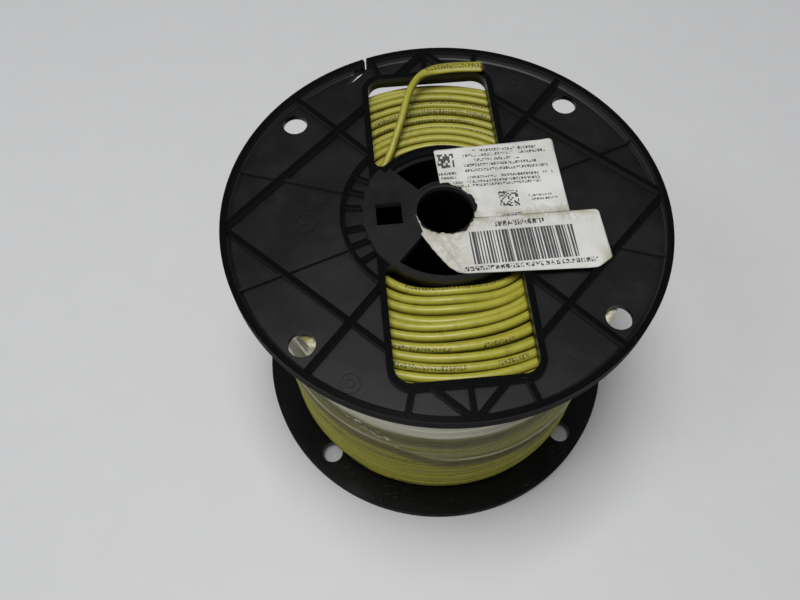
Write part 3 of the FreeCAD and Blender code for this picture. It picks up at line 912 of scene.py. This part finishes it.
def label_paper_finish():
    finish = Finish("label paper")
    x, y = (axis * (1 / MM) for axis in finish.axes()[:2])
    wobble = finish.noise(140, 2)
    fibre = finish.noise(1400, 3)
    cloud = finish.noise(70, 5)
    smudge = finish.noise(160, 6, stretch=(1, 1.6, 1))
    word = finish.speckle(x * 0.62, y * 0.42, 5.0) > 0.15
    stroke = (finish.speckle(x * 3.1, y * 2.3, 3.0) > 0.36) * word * ((x * 0.97).fraction() > 0.2)
    rows = None
    for middle, left, right, tall in text_rows:
        row = (abs(y - middle) < tall / 2) * (x > left) * (x < right)
        rows = row if rows is None else rows.most(row)
    small_print = rows * stroke
    block = (abs(y - 22.1) < 3.4) * (x > -0.4) * (x < 5.9) * (finish.speckle(x * 1.15, y * 0.9, 9.0) > 0.36)
    bar_x = (x + 0.04 * y) * 0.92
    bar_width = 0.28 + 0.62 * finish.speckle(bar_x, y * 0, 11.0)
    bars = (bar_x.fraction() < bar_width) * (abs(y + 17.9) < 6.9) * (x > 7.2) * (x < 44.8)
    tall_stroke = (finish.speckle(x * 2.4, y * 1.9, 13.0) > 0.40) * ((x * 0.56).fraction() > 0.2)
    head_row = (abs(y + 8.4) < 1.1) * (x > 17) * (x < 35)
    foot_row = (abs(y + 26.5) < 0.95) * (x > 3.5) * (x < 51)
    square = (abs(x - 24) < 3.6) * (abs(y - 2.4) < 3.6) * (finish.speckle(x * 1.4, y * 1.4, 17.0) > 0.5)
    ink = small_print.most(block).most(bars).most(head_row.most(foot_row) * tall_stroke).most(square)
    faded = ink * (0.84 + 0.3 * smudge).least(1)
    paper = finish.tint(cloud.ramp(0.3, 0.7), (0.475, 0.465, 0.435), (0.60, 0.595, 0.57))
    seam = abs(y + 5.0).ramp(3.6, 0.2) * smudge.ramp(0.36, 0.62)
    torn = x.ramp(12, -6) * y.ramp(-4, -12) * (0.40 + 0.60 * smudge.ramp(0.35, 0.7))
    bore_edge = (x * x + y * y).root().ramp(14, 11) * smudge.ramp(0.35, 0.6)
    corner = x.ramp(50, 56) * y.ramp(-18, -27) * smudge.ramp(0.3, 0.6)
    wrinkle = abs(finish.noise(190, 5, stretch=(1, 0.6, 1)) - 0.5).ramp(0.03, 0.0)
    # Painted shade, with grime: the wrinkle lines darken along the seam and the crumpled end, as well as
    # pressing in.
    lines = wrinkle * abs(y + 5.0).ramp(6, 1).most(x.ramp(12, 2) * y.ramp(-4, -10)) * 0.7
    dirt_and_crease_shade = seam.most(torn * 0.8).most(bore_edge).most(corner).most(smudge.ramp(0.6, 0.82) * 0.5).most(lines)
    # The paper with its grime and the painted shade along the creases.
    dirty = finish.tint(dirt_and_crease_shade * 0.72, paper, (0.29, 0.26, 0.15))
    printed = finish.tint(faded * 0.97, dirty, (0.02, 0.02, 0.022))
    return finish.surface(Base_Color=printed, Roughness=0.52 + 0.2 * fibre,
                          Normal=finish.bump(fibre * 0.3 + wobble + smudge - lines * 1.6, 0.45, 0.0003))


label_paper = label_paper_finish()
print("made", label_paper.name)


# %% Label shapes
def rounded(corners, radii):
    """The outline with each corner rounded by a short arc of its own radius."""
    found = []
    for k, radius in enumerate(radii):
        here = Vector(corners[k])
        back = Vector(corners[k - 1]) - here
        ahead = Vector(corners[(k + 1) % len(corners)]) - here
        reach = min(radius, back.length * 0.45, ahead.length * 0.45)
        first = here + back.normalized() * reach
        last = here + ahead.normalized() * reach
        for step in range(5):
            s = step / 4
            found.append(first * (1 - s) ** 2 + here * 2 * s * (1 - s) + last * s ** 2)
    return found


def bore_arc(radius, start, end, steps):
    """Points round the bore, with angles in degrees. The paper is worn there, so its edge is ragged."""
    found = []
    for a in np.radians(np.linspace(start, end, steps)):
        worn = radius + 0.40 * math.sin(5 * a + 0.7) + 0.25 * math.sin(13 * a + 2.0) + 0.12 * math.sin(29 * a)
        found.append(Vector((worn * math.cos(a), worn * math.sin(a))))
    return found


def paper_sheet(name, outline, lift):
    """A sheet cut to an outline, with a fine mesh inside, lifted by a formula and made solid."""
    cell = 0.8
    thick = 0.2
    xs = [p.x for p in outline]
    ys = [p.y for p in outline]
    border = []
    for k, here in enumerate(outline):
        ahead = outline[(k + 1) % len(outline)]
        parts = max(1, int((ahead - here).length / cell))
        border += [here.lerp(ahead, part / parts) for part in range(parts)]
    edge = np.array([(p.x, p.y) for p in border])
    inside = []
    for y in np.arange(min(ys), max(ys), cell):
        crossing = []
        for k in range(len(edge)):
            (x0, y0), (x1, y1) = edge[k - 1], edge[k]
            if (y0 > y) != (y1 > y):
                crossing.append(x0 + (y - y0) * (x1 - x0) / (y1 - y0))
        crossing.sort()
        for x0, x1 in zip(crossing[::2], crossing[1::2]):
            for x in np.arange(math.ceil(min(xs)), max(xs), cell):
                if x0 < x < x1 and np.hypot(edge[:, 0] - x, edge[:, 1] - y).min() > cell * 0.55:
                    inside.append(Vector((x, y)))
    made = delaunay_2d_cdt(border + inside, [], [list(range(len(border)))], 1, 1e-6)
    points, triangles = made[0], made[2]
    flat = np.array([(p.x, p.y) for p in points])
    heights = lift(flat[:, 0], flat[:, 1])
    under = np.column_stack([flat, label_base / MM + heights]) * MM
    over = under + UP * thick * MM
    count = len(flat)
    faces = [[v + count for v in t] for t in triangles] + [list(t)[::-1] for t in triangles]
    edges_seen = dict.fromkeys((a, b) for t in triangles for a, b in zip(t, [*t[1:], t[0]]))
    faces += [(a, b, b + count, a + count) for a, b in edges_seen if (b, a) not in edges_seen]
    mesh = mesh_of(name, np.concatenate([under, over]), faces)
    return spool_piece(name, mesh, label_paper)


def creases(x, y, lines):
    """Heights of sharp folds: each has a point, a direction in degrees, a height, a width and a reach."""
    total = np.zeros_like(x)
    for px, py, degrees, height, width, reach in lines:
        a = math.radians(degrees)
        off = np.abs(-(x - px) * math.sin(a) + (y - py) * math.cos(a))
        along = (x - px) * math.cos(a) + (y - py) * math.sin(a)
        total += height * np.clip(1 - off / width, 0, 1) * np.exp(-(along / reach) ** 2)
    return total


worn_radius = 11.4
spec_outline = rounded([(-1.8, 27.7), (44.8, 29.2), (45.2, -5.1), (10.4, -5.1)], [1.8, 1.8, 0.3, 0.3])
spec_outline += bore_arc(worn_radius, -24, 90, 60) + [Vector((-0.6, 11.6))]


def spec_lift(x, y):
    folds = creases(x, y, ((14, -3.5, 8, 0.22, 1.2, 9), (33, -2.5, -14, 0.25, 1.3, 8),
                           (12, 8, 62, 0.12, 1.0, 6), (38, 2, 80, 0.12, 0.9, 5), (25, -4, 20, 0.18, 1, 6)))
    curl = 0.5 * np.exp(-((x - 44) / 3) ** 2 - ((y - 27) / 4) ** 2)
    frayed = 0.25 * np.exp(-((np.hypot(x, y) - 11.5) / 1.6) ** 2) * (0.5 + 0.5 * np.sin(9 * np.arctan2(y, x)))
    return folds + curl + frayed + 0.05 * np.sin(x * 0.5) * np.sin(y * 0.6)


spec_label = paper_sheet("specification_sticker", spec_outline, spec_lift)
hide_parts("specification_label")

wide_outline = bore_arc(worn_radius, 190, 332, 72)
wide_outline += rounded([(10.6, -5.2), (55.7, -5.3), (56.3, -26.2), (50.5, -30.0), (1.6, -28.0),
                         (-1.8, -25.0), (-4.0, -21.4), (-7.6, -15.4), (-10.2, -10.0)],
                        [0.2, 1.8, 0.8, 1.2, 2.5, 1.5, 1.0, 1.0, 1.0])


def wide_lift(x, y):
    folds = creases(x, y, ((10, -8, 20, 0.30, 1.3, 7), (26, -7, -8, 0.2, 1.2, 9),
                           (-4, -16, 118, 0.55, 1.5, 9), (-1, -22, 122, 0.45, 1.4, 8),
                           (-6, -12, 60, 0.4, 1.3, 6), (52, -27, 45, 0.5, 1.6, 6),
                           (40, -28, 6, 0.15, 1.2, 10), (1, -26, 35, 0.35, 1.2, 6),
                           (16, -28, -4, 0.12, 1, 8)))
    waves = np.abs(np.sin(x * 1.1 + y * 0.5)) + np.abs(np.sin(y * 0.9 - x * 0.4))
    crumple = np.clip((6 - x) / 16, 0, 1) * 0.5 * waves
    return folds + crumple + 0.05 * np.sin(x * 0.4 + 1) * np.sin(y * 0.5)


wide_label = paper_sheet("bar_sticker", wide_outline, wide_lift)
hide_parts("barcode_label")

# %% [markdown]
# ## Moulded marks
# The web carries small raised marks from the mould. Plain raised rings and dots are enough for them:
# each is a low closed solid that catches a small spot of light, and all are in one mesh.

# %% Mould marks
web_top = (upper_high.z - web_depth) / MM
mark_slope = 0.08
mark_sunk = 0.02
mark_mesh = bmesh.new()


def raised_ring(x, y, inner, outer, tall=0.25, parts=40):
    """A low ring on the web, or a dot where the inner radius is zero."""
    loops = []
    for radius, z in ((inner, 0), (inner + mark_slope, tall), (outer - mark_slope, tall), (outer, 0)):
        reach = max(radius, 0.02)
        ring = []
        for k in range(parts):
            a = 2 * math.pi * k / parts
            ring.append(mark_mesh.verts.new(((x + reach * math.cos(a)) * MM, (y + reach * math.sin(a)) * MM,
                                             (web_top - mark_sunk + z) * MM)))
        loops.append(ring)
    for first, second in zip(loops, loops[1:]):
        for k in range(parts):
            mark_mesh.faces.new((first[k], first[k - 1], second[k - 1], second[k]))
    for k in range(parts):
        mark_mesh.faces.new((loops[3][k], loops[3][k - 1], loops[0][k - 1], loops[0][k]))


for ring_x, ring_y, ring_in, ring_out in (
        (-51.5, 0.5, 3.6, 4.3), (-51.5, 0.5, 0.0, 1.2), (-38.9, -64.2, 3.2, 3.9), (-38.9, -64.2, 1.2, 1.8),
        (35.9, 62.8, 1.6, 2.1), (34.4, -61.1, 0.0, 0.7), (-47.0, -5.5, 0.0, 0.6)):
    raised_ring(ring_x, ring_y, ring_in, ring_out)
bmesh.ops.recalc_face_normals(mark_mesh, faces=mark_mesh.faces)
marks = bpy.data.meshes.new("mould_marks")
mark_mesh.to_mesh(marks)
mark_mesh.free()
spool_piece("mould_marks", marks, spool_plastic)
